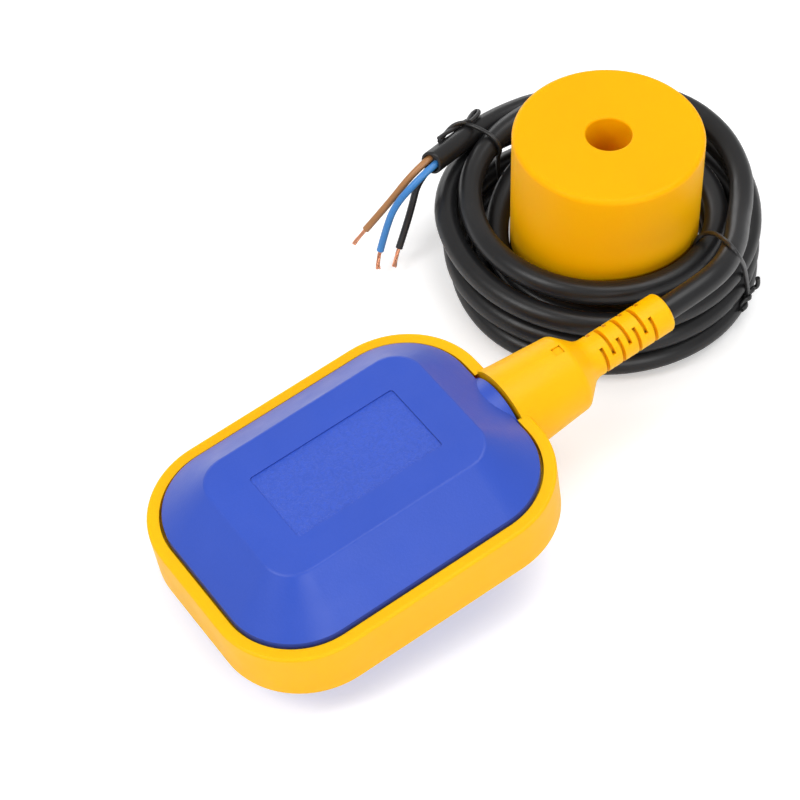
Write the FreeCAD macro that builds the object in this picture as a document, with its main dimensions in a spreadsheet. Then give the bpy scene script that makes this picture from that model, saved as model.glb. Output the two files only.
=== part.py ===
import FreeCAD, Part
import math
import os
import Sketcher
from types import SimpleNamespace
from FreeCAD import Placement, Rotation, Vector

# Float level switch: a sealed float on a cable, its coiled cable with stripped cores,
# two wire ties and the loose counterweight that stands in the coil.
#
# The float is drawn in its own frame: origin at the middle of its body, +X along the
# neck towards the cable, +Z through the upper face. One placement then tilts it nose up
# and stands it on the floor. Lengths are millimetres and angles are degrees.
#
# Places along the neck count from the band's end, each from the one before it. Inside, the
# clamp counts back from the seal, the jacket's end from the clamp, and the case from the
# jacket's end. The ball and the pivot count from the case's rear face, the snap switch from
# the pivot, and the plunger from the rear of the snap switch.

SIZES = [
    # yellow overmoulded frame: band, neck and strain relief
    ("band_length", 107.6), ("band_width", 82.8), ("band_corner", 26.3), ("band_height", 17.6),
    ("band_edge", 0.9), ("rim_width", 3.65), ("groove_width", 1.0), ("groove_depth", 2.4),
    ("neck_base_radius", 14.0), ("neck_shoulder_radius", 12.1), ("neck_shoulder", 20.6),
    ("neck_round", 3.0), ("relief_start", 6.4), ("relief_end", 28.6), ("relief_radius", 6.2),
    ("relief_round", 5.0), ("relief_edge", 1.2), ("slot_width", 1.2), ("slot_root", 4.5),
    ("slot_sweep", 126.0), ("slot_pitch", 5.83), ("side_slot_start", 4.0), ("face_slot_start", 6.9),
    ("mark_place", 3.8), ("mark_size", 3.0), ("mark_depth", 0.5),
    # blue half shells
    ("shell_wall", 2.2), ("shoulder_height", 9.9), ("dome_height", 22.0), ("dome_edge", 1.2),
    ("plateau_length", 70.9), ("plateau_width", 46.4), ("plateau_corner", 9.0),
    ("panel_length", 48.0), ("panel_width", 24.9), ("panel_offset", 0.5), ("panel_corner", 1.0),
    ("panel_depth", 0.4), ("boss_radius", 12.5), ("boss_reach", 1.2), ("post_radius", 2.5),
    ("post_spread_x", 44.0), ("post_spread_y", 20.0),
    # sealed switch case inside the shells
    ("case_front", 8.5), ("case_length", 61.0), ("case_width", 34.0), ("case_height", 35.0),
    ("case_wall", 1.6), ("case_corner", 5.0), ("lid_thickness", 3.0), ("lid_plug", 1.2),
    ("fit_gap", 0.2), ("screw_radius", 1.1), ("screw_length", 8.0), ("screw_head_radius", 2.0),
    ("screw_head_height", 1.2), ("screw_slot", 0.5), ("screw_inset", 4.2), ("pillar_side", 5.2),
    # ball, its track and the lever that it lifts
    ("ball_diameter", 14.0), ("ball_rest", 12.0), ("ball_travel", 24.0), ("ball_floor_gap", 0.4),
    ("running_gap", 0.3), ("track_gap", 8.0), ("rail_width", 1.6), ("stop_width", 2.0),
    ("stop_height", 9.0), ("lever_swing", 2.0), ("lever_width", 5.0), ("lever_thickness", 0.8),
    ("lever_hub", 1.9), ("pivot_place", 5.0), ("pivot_rise", 10.0), ("pivot_pin_radius", 0.8),
    ("pin_gap", 0.08), ("lug_wall", 1.8), ("lug_length", 6.0), ("lug_below_pivot", 2.6),
    # snap-action switch carried by the lid
    ("switch_rear", 17.5), ("switch_length", 20.0), ("switch_width", 6.4), ("switch_height", 9.6),
    ("switch_wall", 1.2), ("cradle_wall", 1.6), ("cradle_drop", 7.0), ("mount_pin_radius", 0.9),
    ("mount_pin_inset", 2.3), ("mount_pin_rise", 1.8), ("plunger_place", 11.5),
    ("plunger_radius", 1.1), ("plunger_head_radius", 1.6), ("plunger_head_height", 0.8),
    ("blade_rise", 3.9), ("blade_hinge", 2.4), ("blade_reach", 14.7), ("blade_width", 2.6),
    ("blade_thickness", 0.3), ("contact_gap", 0.15), ("terminal_thickness", 0.5),
    ("terminal_width", 1.0), ("terminal_reach", 3.0), ("common_rise", 1.9),
    # cable and what holds it in the neck
    ("cable_diameter", 7.4), ("core_diameter", 2.3), ("strand_diameter", 1.1),
    ("root_start", 0.6), ("core_circle", 1.5), ("seal_radius", 6.2), ("seal_flange", 1.5),
    ("grommet_radius", 5.0), ("grommet_rise", 1.6), ("grommet_overhang", 1.2),
    ("grommet_circle", 2.0), ("clamp_place", 0.6), ("clamp_length", 4.2), ("clamp_width", 19.0),
    ("clamp_bridge", 1.8), ("clamp_screw_spread", 13.6), ("clamp_screw_bite", 4.0), ("pedestal_height", 6.0),
    # how the float lies, and the coil with its ties
    ("float_tilt", 6.8), ("coil_x", 129.0), ("coil_y", 55.5), ("coil_radius", 50.2),
    ("coil_height", 31.0), ("coil_hole_radius", 33.2), ("coil_hole_dx", -2.0),
    ("coil_hole_dy", -3.5), ("coil_edge", 3.4), ("tie_radius", 0.6), ("tie_corner", 3.0),
    ("tie_gap", 0.1), ("tie_twist_radius", 1.2), ("tie_twist_length", 9.0),
    ("front_tie_bearing", -68.0), ("rear_tie_bearing", 114.0), ("rear_tie_lift", 7.6), ("lead_run", 12.0),
    # counterweight standing in the coil
    ("weight_dx", -4.1), ("weight_dy", -6.7), ("weight_radius", 28.8), ("weight_height", 63.0),
    ("weight_wall", 2.2), ("weight_edge", 1.6), ("weight_bore_radius", 6.9),
    ("weight_bore_edge", 0.8), ("weight_cap", 2.6),
]

doc = FreeCAD.newDocument("FloatLevelSwitch")
sheet = doc.addObject("Spreadsheet::Sheet", "Sizes")


class Size(float):
    """A number that also carries the spreadsheet expression it comes from."""

    def __new__(cls, value, text):
        size = super().__new__(cls, value)
        size.text = text
        return size

    def __add__(self, other):
        return Size(float(self) + float(other), f"({self.text} + {text_of(other)})")

    def __radd__(self, other):
        return Size(float(other) + float(self), f"({text_of(other)} + {self.text})")

    def __sub__(self, other):
        return Size(float(self) - float(other), f"({self.text} - {text_of(other)})")

    def __rsub__(self, other):
        return Size(float(other) - float(self), f"({text_of(other)} - {self.text})")

    def __mul__(self, other):
        return Size(float(self) * float(other), f"({self.text} * {text_of(other)})")

    def __rmul__(self, other):
        return Size(float(other) * float(self), f"({text_of(other)} * {self.text})")

    def __truediv__(self, other):
        return Size(float(self) / float(other), f"({self.text} / {text_of(other)})")

    def __neg__(self):
        return Size(-float(self), f"(-{self.text})")


def text_of(number):
    return number.text if isinstance(number, Size) else f"({float(number)!r})"


def root(number):
    return Size(math.sqrt(float(number)), f"sqrt({text_of(number)})")


def read_sizes():
    """Fills the sheet and returns its cells as named sizes."""
    cells = SimpleNamespace()
    for row, (alias, value) in enumerate(SIZES, start=1):
        sheet.set(f"A{row}", alias)
        sheet.set(f"B{row}", str(value))
        sheet.setAlias(f"B{row}", alias)
        setattr(cells, alias, Size(value, f"Sizes.{alias}"))
    doc.recompute()
    return cells


S = read_sizes()

# sizes that several pieces share
SHELL_LENGTH = S.band_length - 2 * (S.rim_width + S.groove_width)
SHELL_WIDTH = S.band_width - 2 * (S.rim_width + S.groove_width)
SHELL_CORNER = S.band_corner - S.rim_width - S.groove_width
BOSS_END = SHELL_LENGTH / 2 + S.boss_reach
CABLE_RADIUS = S.cable_diameter / 2
CORE_RADIUS = S.core_diameter / 2
BALL_RADIUS = S.ball_diameter / 2
BAND_END = S.band_length / 2
NECK_SHOULDER = BAND_END + S.neck_shoulder
RELIEF_START = NECK_SHOULDER + S.relief_start
RELIEF_END = RELIEF_START + S.relief_end
SHELL_FACE = SHELL_LENGTH / 2 - S.shell_wall
CLAMP_X = SHELL_FACE - S.seal_flange - S.clamp_place - S.clamp_length
ROOT_START = CLAMP_X - S.root_start
CASE_FRONT = ROOT_START - S.case_front
CASE_REAR = CASE_FRONT - S.case_length
BALL_REST = CASE_REAR + S.ball_rest
PIVOT_X = CASE_REAR + S.pivot_place
SWITCH_REAR = PIVOT_X + S.switch_rear
PLUNGER_X = SWITCH_REAR + S.plunger_place
CASE_FLOOR = S.case_wall - S.case_height / 2
LID_UNDERSIDE = S.case_height / 2 - S.lid_thickness
PLUG_UNDERSIDE = LID_UNDERSIDE - S.lid_plug
BALL_Z = CASE_FLOOR + S.ball_floor_gap + BALL_RADIUS
PIVOT_Z = BALL_Z + S.pivot_rise
SWITCH_BOTTOM = PLUG_UNDERSIDE - S.switch_height
SWITCH_FRONT = SWITCH_REAR + S.switch_length
BLADE_Z = SWITCH_BOTTOM + S.blade_rise
BLADE_HINGE_X = SWITCH_REAR + S.blade_hinge
WEIGHT_X = S.coil_x + S.weight_dx
WEIGHT_Y = S.coil_y + S.weight_dy


# ---------------------------------------------------------------- modelling helpers

def bind(item, **sizes):
    for name, size in sizes.items():
        setattr(item, name, float(size))
        if isinstance(size, Size):
            item.setExpression(name, size.text)


def put(item, x, y, z, rotation=Rotation()):
    item.Placement = Placement(Vector(x, y, z), rotation)
    for axis, size in zip("xyz", (x, y, z)):
        if isinstance(size, Size):
            item.setExpression(f"Placement.Base.{axis}", size.text)


def new_body(label):
    body = doc.addObject("PartDesign::Body", label)
    body.Label = label
    return body


def box(body, name, corner, extent, cut=False):
    kind = "PartDesign::SubtractiveBox" if cut else "PartDesign::AdditiveBox"
    item = body.newObject(kind, name)
    bind(item, Length=extent[0], Width=extent[1], Height=extent[2])
    put(item, *corner)
    return item


ALONG = {"x": Rotation(Vector(0, 1, 0), 90), "y": Rotation(Vector(1, 0, 0), -90), "z": Rotation()}


def cylinder(body, name, start, radius, length, along, cut=False):
    kind = "PartDesign::SubtractiveCylinder" if cut else "PartDesign::AdditiveCylinder"
    item = body.newObject(kind, name)
    bind(item, Radius=radius, Height=length)
    put(item, *start, ALONG[along])
    return item


def new_sketch(body, name, role, offset=0.0):
    sketch = body.newObject("Sketcher::SketchObject", name)
    plane = [item for item in body.Origin.OriginFeatures if item.Role == role][0]
    sketch.AttachmentSupport = [(plane, "")]
    sketch.MapMode = "FlatFace"
    sketch.AttachmentOffset = Placement(Vector(0, 0, offset), Rotation())
    if isinstance(offset, Size):
        sketch.setExpression("AttachmentOffset.Base.z", offset.text)
    return sketch


def pin_point(sketch, geometry, place, x, y):
    """Ties one point of a sketch to its coordinates."""
    for kind, axis, value in (("DistanceX", -2, x), ("DistanceY", -1, y)):
        if abs(float(value)) < 1e-9:
            sketch.addConstraint(Sketcher.Constraint("PointOnObject", geometry, place, axis))
            continue
        made = Sketcher.Constraint(kind, -1, 1, geometry, place, float(value))
        index = sketch.addConstraint(made)
        if isinstance(value, Size):
            sketch.setExpression(f"Constraints[{index}]", value.text)


def polygon(sketch, corners):
    """Adds a closed straight-sided profile with every corner tied to its sizes."""
    first = sketch.GeometryCount
    count = len(corners)
    for index, (x, y) in enumerate(corners):
        following = corners[(index + 1) % count]
        sketch.addGeometry(Part.LineSegment(Vector(x, y, 0), Vector(*following, 0)), False)
    for index in range(count):
        joint = Sketcher.Constraint("Coincident", first + index, 2, first + (index + 1) % count, 1)
        sketch.addConstraint(joint)
    for index, (x, y) in enumerate(corners):
        pin_point(sketch, first + index, 1, x, y)


def rounded_rectangle(sketch, length, width, corner, shift=0.0):
    """Adds a rectangle with four equal round corners, centred at (shift, 0)."""
    half_x, half_y = length / 2 - corner, width / 2 - corner
    signs = ((1, -1), (1, 1), (-1, 1), (-1, -1))
    centres = [(shift + half_x * sx, half_y * sy) for sx, sy in signs]
    for index, (cx, cy) in enumerate(centres):
        start = math.radians(90 * (index - 1))
        circle = Part.Circle(Vector(cx, cy, 0), Vector(0, 0, 1), float(corner))
        sketch.addGeometry(Part.ArcOfCircle(circle, start, start + math.pi / 2), False)
    for index in range(4):
        angle = math.radians(90 * index)
        out = Vector(math.cos(angle), math.sin(angle), 0) * float(corner)
        here = Vector(*centres[index], 0) + out
        there = Vector(*centres[(index + 1) % 4], 0) + out
        sketch.addGeometry(Part.LineSegment(here, there), False)
    for index in range(4):
        line, following = 4 + index, (index + 1) % 4
        sketch.addConstraint(Sketcher.Constraint("Tangent", index, 2, line, 1))
        sketch.addConstraint(Sketcher.Constraint("Tangent", line, 2, following, 1))
    number = sketch.addConstraint(Sketcher.Constraint("Radius", 0, float(corner)))
    if isinstance(corner, Size):
        sketch.setExpression(f"Constraints[{number}]", corner.text)
    for index in range(1, 4):
        sketch.addConstraint(Sketcher.Constraint("Equal", 0, index))
    for index, centre in enumerate(centres):
        pin_point(sketch, index, 3, *centre)


def feature(body, kind, name, sketch, **sizes):
    item = body.newObject(f"PartDesign::{kind}", name)
    item.Profile = sketch
    bind(item, **sizes)
    return item


def fillet(body, name, radius, wanted):
    """Rounds the edges of the body so far that pass the wanted test."""
    doc.recompute()
    solid = body.Tip
    edges = [f"Edge{number}" for number, edge in enumerate(solid.Shape.Edges, start=1)
             if wanted(edge)]
    item = body.newObject("PartDesign::Fillet", name)
    item.Base = (solid, edges)
    bind(item, Radius=radius)
    return item


def flat_at(edge, height, tolerance=0.01):
    """True for an edge that lies level at the given height."""
    bounds = edge.BoundBox
    return abs(bounds.ZMin - height) < tolerance and abs(bounds.ZMax - height) < tolerance


def upright(edge):
    """True for a straight edge along Z."""
    bounds = edge.BoundBox
    return bounds.XLength < 0.01 and bounds.YLength < 0.01 and bounds.ZLength > 0.5


def circle_at(edge, station, radius):
    """True for a circle about the X axis at a station along it."""
    bounds = edge.BoundBox
    level = abs(bounds.XMin - station) < 0.01 and abs(bounds.XMax - station) < 0.01
    return level and abs(bounds.ZMax - radius) < 0.01


# ---------------------------------------------------------------- float casing

def make_float_frame():
    """Band round the shells, neck and slotted strain relief, moulded as one piece."""
    body = new_body("float_frame")
    half = S.band_height / 2
    outline = new_sketch(body, "BandOutline", "XY_Plane", -half)
    rounded_rectangle(outline, S.band_length, S.band_width, S.band_corner)
    feature(body, "Pad", "Band", outline, Length=S.band_height)
    fillet(body, "BandEdges", S.band_edge, lambda edge: flat_at(edge, half) or flat_at(edge, -half))

    profile = new_sketch(body, "NeckProfile", "XZ_Plane")
    neck_start = BOSS_END + S.groove_width
    polygon(profile, [(neck_start, 0), (neck_start, S.neck_base_radius),
                      (NECK_SHOULDER, S.neck_shoulder_radius),
                      (RELIEF_START, S.relief_radius), (RELIEF_END, S.relief_radius),
                      (RELIEF_END, 0)])
    neck = feature(body, "Revolution", "Neck", profile)
    neck.ReferenceAxis = (profile, ["H_Axis"])
    fillet(body, "NeckShoulder", S.neck_round,
           lambda edge: circle_at(edge, NECK_SHOULDER, S.neck_shoulder_radius))
    fillet(body, "ReliefRoot", S.relief_round,
           lambda edge: circle_at(edge, RELIEF_START, S.relief_radius))
    fillet(body, "ReliefTip", S.relief_edge,
           lambda edge: circle_at(edge, RELIEF_END, S.relief_radius))

    opening = new_sketch(body, "ShellOpening", "XY_Plane", half)
    rounded_rectangle(opening, SHELL_LENGTH, SHELL_WIDTH, SHELL_CORNER)
    feature(body, "Pocket", "ShellPocket", opening, Length=S.band_height)
    for name, height in (("UpperGroove", half), ("LowerGroove", S.groove_depth - half)):
        ring = new_sketch(body, name + "Outline", "XY_Plane", height)
        rounded_rectangle(ring, SHELL_LENGTH + 2 * S.groove_width, SHELL_WIDTH + 2 * S.groove_width,
                          SHELL_CORNER + S.groove_width)
        feature(body, "Pocket", name, ring, Length=S.groove_depth)
    cylinder(body, "BossSeat", (SHELL_LENGTH / 4, 0, 0), S.boss_radius + S.groove_width,
             BOSS_END + S.groove_width - SHELL_LENGTH / 4, "x", cut=True)
    cylinder(body, "CableBore", (SHELL_LENGTH / 2, 0, 0), CABLE_RADIUS,
             RELIEF_END - SHELL_LENGTH / 2 + 1, "x", cut=True)

    cut_slots(body, "FaceSlots", "XZ_Plane", RELIEF_START + S.face_slot_start, 3)
    cut_slots(body, "SideSlots", "XY_Plane", RELIEF_START + S.side_slot_start, 4)
    mark_floor = S.neck_shoulder_radius - S.mark_depth
    box(body, "Mark", (NECK_SHOULDER - S.mark_place, -S.mark_size / 2, mark_floor),
        (S.mark_size, S.mark_size, S.neck_base_radius), cut=True)
    return body


def cut_slots(body, name, role, start, rows):
    """Cuts rows of slots round the strain relief, one each side of the sketch plane's axis."""
    sketch = new_sketch(body, name + "Sketch", role)
    outside = S.relief_radius + 1
    for row in range(rows):
        left = start + S.slot_pitch * row - S.slot_width / 2
        right = left + S.slot_width
        polygon(sketch, [(left, S.slot_root), (right, S.slot_root), (right, outside), (left, outside)])
        polygon(sketch, [(left, -outside), (right, -outside), (right, -S.slot_root),
                         (left, -S.slot_root)])
    groove = feature(body, "Groove", name, sketch, Angle=S.slot_sweep)
    groove.ReferenceAxis = (sketch, ["H_Axis"])
    groove.Midplane = True


def make_half_shell(label, carries_clamp):
    """Blue dome: wall up to a shoulder, lofted slope, plateau with a sunk panel."""
    body = new_body(label)
    base = new_sketch(body, "BaseOutline", "XY_Plane")
    rounded_rectangle(base, SHELL_LENGTH, SHELL_WIDTH, SHELL_CORNER)
    feature(body, "Pad", "Wall", base, Length=S.shoulder_height)
    loft_between(body, "AdditiveLoft", "Dome", S.shoulder_height, S.dome_height,
                 (SHELL_LENGTH, SHELL_WIDTH, SHELL_CORNER),
                 (S.plateau_length, S.plateau_width, S.plateau_corner))
    fillet(body, "DomeEdge", S.dome_edge, lambda edge: flat_at(edge, S.dome_height))
    cylinder(body, "CableBoss", (SHELL_LENGTH / 4, 0, 0), S.boss_radius,
             BOSS_END - SHELL_LENGTH / 4, "x")
    box(body, "SeamFace", (0, -S.boss_radius, -S.boss_radius),
        (BOSS_END + 1, 2 * S.boss_radius, S.boss_radius), cut=True)

    wall = S.shell_wall
    inner = (SHELL_LENGTH - 2 * wall, SHELL_WIDTH - 2 * wall, SHELL_CORNER - wall)
    cavity = new_sketch(body, "CavityOutline", "XY_Plane", S.shoulder_height)
    rounded_rectangle(cavity, *inner)
    feature(body, "Pocket", "Cavity", cavity, Length=S.shoulder_height)
    loft_between(body, "SubtractiveLoft", "DomeCavity", S.shoulder_height, S.dome_height - wall, inner,
                 (S.plateau_length - 2 * wall, S.plateau_width - 2 * wall, S.plateau_corner - wall))
    cylinder(body, "SealBore", (SHELL_LENGTH / 4, 0, 0), S.seal_radius, SHELL_LENGTH / 2, "x", cut=True)
    panel = new_sketch(body, "PanelOutline", "XY_Plane", S.dome_height)
    rounded_rectangle(panel, S.panel_length, S.panel_width, S.panel_corner, S.panel_offset)
    feature(body, "Pocket", "Panel", panel, Length=S.panel_depth)

    case_centre = CASE_FRONT - S.case_length / 2
    foot = S.case_height / 2
    for name, side_x, side_y in (("PostA", 1, 1), ("PostB", 1, -1), ("PostC", -1, 1), ("PostD", -1, -1)):
        cylinder(body, name, (case_centre + S.post_spread_x / 2 * side_x, S.post_spread_y / 2 * side_y,
                              foot), S.post_radius, S.dome_height - wall / 2 - foot, "z")
    if carries_clamp:
        box(body, "ClampPedestal", (CLAMP_X, -S.clamp_width / 2, CABLE_RADIUS),
            (S.clamp_length, S.clamp_width, S.pedestal_height))
        clear = S.seal_radius + S.seal_flange + S.fit_gap
        box(body, "PedestalBracket", (CLAMP_X, -S.clamp_width / 2, clear),
            (SHELL_FACE + wall / 2 - CLAMP_X, S.clamp_width, CABLE_RADIUS + S.pedestal_height - clear))
        for name, side in (("ScrewHoleA", 1), ("ScrewHoleB", -1)):
            cylinder(body, name, (CLAMP_X + S.clamp_length / 2, S.clamp_screw_spread / 2 * side,
                                  CABLE_RADIUS), S.screw_radius, S.clamp_screw_bite, "z", cut=True)
    return body


def loft_between(body, kind, name, low, high, low_size, high_size):
    foot = new_sketch(body, name + "Foot", "XY_Plane", low)
    rounded_rectangle(foot, *low_size)
    top = new_sketch(body, name + "Top", "XY_Plane", high)
    rounded_rectangle(top, *high_size)
    loft = feature(body, kind, name, foot)
    loft.Sections = [top]
    loft.Ruled = True
    return loft


# ---------------------------------------------------------------- sealed switch case

def corner_places():
    """Centres of the four corner screws of the case."""
    inset = S.screw_inset
    for name, side_x, side_y in (("A", 1, 1), ("B", 1, -1), ("C", -1, 1), ("D", -1, -1)):
        middle = CASE_FRONT - S.case_length / 2
        yield name, middle + (S.case_length / 2 - inset) * side_x, (S.case_width / 2 - inset) * side_y


def make_case_tray():
    """Tray with two rails for the ball, end stops and corner pillars."""
    body = new_body("switch_case")
    height = S.case_height - S.lid_thickness
    box(body, "Block", (CASE_REAR, -S.case_width / 2, -S.case_height / 2),
        (S.case_length, S.case_width, height))
    fillet(body, "Corners", S.case_corner, upright)
    inner_length, inner_width = S.case_length - 2 * S.case_wall, S.case_width - 2 * S.case_wall
    box(body, "Hollow", (CASE_REAR + S.case_wall, -inner_width / 2, CASE_FLOOR),
        (inner_length, inner_width, height), cut=True)
    for name, place_x, place_y in corner_places():
        side = S.pillar_side
        box(body, "Pillar" + name, (place_x - side / 2, place_y - side / 2, CASE_FLOOR),
            (side, side, LID_UNDERSIDE - S.lid_plug - CASE_FLOOR))
        cylinder(body, "PillarBore" + name, (place_x, place_y, PLUG_UNDERSIDE - S.screw_length),
                 S.screw_radius, S.screw_length, "z", cut=True)
    rest = root(BALL_RADIUS * BALL_RADIUS - S.track_gap * S.track_gap / 4)
    rail_top = BALL_Z - rest - S.running_gap
    stop_y = S.track_gap / 2 + S.rail_width
    rear_stop = BALL_REST - BALL_RADIUS - S.running_gap - S.stop_width
    front_stop = BALL_REST + S.ball_travel + BALL_RADIUS + S.running_gap
    rail_length = front_stop + S.stop_width - rear_stop
    for name, low in (("RailLeft", S.track_gap / 2), ("RailRight", -stop_y)):
        box(body, name, (rear_stop, low, CASE_FLOOR), (rail_length, S.rail_width, rail_top - CASE_FLOOR))
    for name, place in (("RearStop", rear_stop), ("FrontStop", front_stop)):
        box(body, name, (place, -stop_y, CASE_FLOOR), (S.stop_width, 2 * stop_y, S.stop_height))
    cylinder(body, "GrommetHole", (CASE_FRONT - 2 * S.case_wall, 0, S.grommet_rise),
             S.grommet_radius, 3 * S.case_wall, "x", cut=True)
    return body


def make_case_lid():
    """Lid with a plug that fits the tray, pivot lugs and the cradle of the snap switch."""
    body = new_body("switch_case_lid")
    box(body, "Plate", (CASE_REAR, -S.case_width / 2, LID_UNDERSIDE),
        (S.case_length, S.case_width, S.lid_thickness))
    fillet(body, "Corners", S.case_corner, upright)
    play = S.case_wall + S.fit_gap
    box(body, "Plug", (CASE_REAR + play, play - S.case_width / 2, PLUG_UNDERSIDE),
        (S.case_length - 2 * play, S.case_width - 2 * play, S.lid_plug))
    lug_foot = PIVOT_Z - S.lug_below_pivot
    lug_gap = S.lever_width / 2 + S.fit_gap
    cradle = S.switch_width / 2
    for side, low_lug, low_cradle in (("Left", lug_gap, cradle),
                                      ("Right", -lug_gap - S.lug_wall, -cradle - S.cradle_wall)):
        box(body, "Lug" + side, (PIVOT_X - S.lug_length / 2, low_lug, lug_foot),
            (S.lug_length, S.lug_wall, PLUG_UNDERSIDE - lug_foot))
        box(body, "Cradle" + side, (SWITCH_REAR, low_cradle, PLUG_UNDERSIDE - S.cradle_drop),
            (S.switch_length, S.cradle_wall, S.cradle_drop))
    reach = S.case_width / 2
    cylinder(body, "PivotBore", (PIVOT_X, -reach, PIVOT_Z), S.pivot_pin_radius, 2 * reach, "y",
             cut=True)
    for name, place in mount_pin_places():
        cylinder(body, "PinBore" + name, (place, -reach, SWITCH_BOTTOM + S.mount_pin_rise),
                 S.mount_pin_radius, 2 * reach, "y", cut=True)
    for name, place_x, place_y in corner_places():
        cylinder(body, "ScrewBore" + name, (place_x, place_y, PLUG_UNDERSIDE - 1), S.screw_radius,
                 S.case_height, "z", cut=True)
        cylinder(body, "HeadSeat" + name, (place_x, place_y, S.case_height / 2 - S.screw_head_height),
                 S.screw_head_radius, S.screw_head_height + 1, "z", cut=True)
    return body


def mount_pin_places():
    return (("Rear", SWITCH_REAR + S.mount_pin_inset), ("Front", SWITCH_FRONT - S.mount_pin_inset))


def make_case_screws():
    """Four identical screws, in one piece list entry."""
    bodies = []
    for name, place_x, place_y in corner_places():
        reach = S.screw_length + (S.lid_thickness + S.lid_plug - S.screw_head_height) * 0.6
        bodies.append(screw_solid(place_x, place_y, S.case_height / 2, reach))
    return solid_group("case_screws", bodies)


def screw_solid(place_x, place_y, head_top, reach):
    """Pan screw pointing down, whose head top is at head_top and shank is as long as reach."""
    down = Vector(0, 0, -1)
    seat = Vector(place_x, place_y, head_top - S.screw_head_height)
    head = Part.makeCylinder(S.screw_head_radius, S.screw_head_height, seat, -down)
    shank = Part.makeCylinder(S.screw_radius, reach, seat, down)
    slot = Part.makeBox(2 * S.screw_head_radius, S.screw_slot, S.screw_slot,
                        Vector(place_x - S.screw_head_radius, place_y - S.screw_slot / 2,
                               head_top - S.screw_slot / 2))
    return head.fuse(shank).cut(slot).removeSplitter()


def solid_group(label, shapes):
    item = doc.addObject("Part::Feature", label)
    item.Label = label
    item.Shape = shapes[0] if len(shapes) == 1 else Part.makeCompound(shapes)
    return item


def make_ball():
    body = new_body("steel_ball")
    ball = body.newObject("PartDesign::AdditiveSphere", "Ball")
    bind(ball, Radius=BALL_RADIUS)
    put(ball, BALL_REST, 0, BALL_Z)
    return body


def lever_underside():
    """The ball's path seen from the swinging lever, one ball radius and a gap above it."""
    points = []
    stations = 7
    swing = math.radians(S.lever_swing)
    arm_z = BALL_Z - PIVOT_Z
    for step in range(stations):
        share = step / (stations - 1)
        angle, arm_x = swing * share, BALL_REST + S.ball_travel * share - PIVOT_X
        seen_x = arm_x * math.cos(angle) + arm_z * math.sin(angle)
        seen_z = arm_z * math.cos(angle) - arm_x * math.sin(angle)
        # the ball moves along (cos, -sin) less the turn of the arm about the pivot
        rate = swing / S.ball_travel
        run = Vector(math.cos(angle) + rate * seen_z, 0, -math.sin(angle) - rate * seen_x)
        normal = Vector(-run.z, 0, run.x).normalize()
        reach = BALL_RADIUS + S.running_gap
        points.append(Vector(PIVOT_X + seen_x, 0, PIVOT_Z + seen_z) + normal * reach)
    return points


def make_lever():
    """Lever whose lower face is the cam that the rolling ball lifts steadily."""
    under = lever_underside()
    lift = Vector(0, 0, S.lever_thickness)
    curve = Part.BSplineCurve()
    curve.interpolate(under)
    upper = Part.BSplineCurve()
    upper.interpolate([point + lift for point in under])
    hub_point = Vector(PIVOT_X, 0, PIVOT_Z)
    heel = [under[0] + lift, hub_point + Vector(S.lever_hub * 0.6, 0, 0),
            hub_point - Vector(S.lever_hub * 0.6, 0, 0), under[0]]
    edges = [curve.toShape(), Part.LineSegment(under[-1], under[-1] + lift).toShape(),
             upper.toShape()]
    edges += [Part.LineSegment(a, b).toShape() for a, b in zip(heel[:-1], heel[1:])]
    wire = Part.Wire(Part.__sortEdges__(edges))
    plate = Part.Face(wire)
    half = Vector(0, S.lever_width / 2, 0)
    plate.translate(-half)
    solid = plate.extrude(half * 2)
    hub = Part.makeCylinder(S.lever_hub, S.lever_width, hub_point - half, Vector(0, 1, 0))
    bore = Part.makeCylinder(S.pivot_pin_radius + S.pin_gap, S.lever_width * 2, hub_point - half * 2,
                             Vector(0, 1, 0))
    return solid_group("actuator_lever", [solid.fuse(hub).cut(bore).removeSplitter()])


def lever_top_at_plunger():
    """Height of the lever's upper face below the plunger, at rest."""
    under = lever_underside()
    for here, there in zip(under[:-1], under[1:]):
        if here.x <= PLUNGER_X <= there.x:
            share = (PLUNGER_X - here.x) / (there.x - here.x)
            return here.z + (there.z - here.z) * share + S.lever_thickness
    return under[-1].z + S.lever_thickness


def make_pivot_pin():
    body = new_body("lever_pin")
    reach = S.lever_width / 2 + S.fit_gap + S.lug_wall
    cylinder(body, "Pin", (PIVOT_X, -reach, PIVOT_Z), S.pivot_pin_radius, 2 * reach, "y")
    return body


# ---------------------------------------------------------------- snap-action switch

def make_microswitch_case():
    """Open-sided moulded case of the snap switch."""
    body = new_body("microswitch_case")
    wall = S.switch_wall
    box(body, "Block", (SWITCH_REAR, -S.switch_width / 2, SWITCH_BOTTOM),
        (S.switch_length, S.switch_width - wall, S.switch_height))
    box(body, "Hollow", (SWITCH_REAR + wall, wall - S.switch_width / 2, SWITCH_BOTTOM + wall),
        (S.switch_length - 2 * wall, S.switch_width, S.switch_height - 2 * wall), cut=True)
    cylinder(body, "PlungerBore", (PLUNGER_X, 0, SWITCH_BOTTOM - 1),
             S.plunger_radius + S.pin_gap, wall + 2, "z", cut=True)
    cut_pin_bores(body)
    for name, low_y, low_z, width in terminal_windows():
        box(body, name + "Window", (SWITCH_FRONT - 2 * wall, low_y, low_z),
            (3 * wall, width, S.terminal_thickness), cut=True)
    return body


def cut_pin_bores(body):
    for name, place in mount_pin_places():
        cylinder(body, "PinBore" + name, (place, -S.switch_width, SWITCH_BOTTOM + S.mount_pin_rise),
                 S.mount_pin_radius, 2 * S.switch_width, "y", cut=True)


def make_microswitch_cover():
    body = new_body("microswitch_cover")
    box(body, "Plate", (SWITCH_REAR, S.switch_width / 2 - S.switch_wall, SWITCH_BOTTOM),
        (S.switch_length, S.switch_wall, S.switch_height))
    cut_pin_bores(body)
    return body


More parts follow.
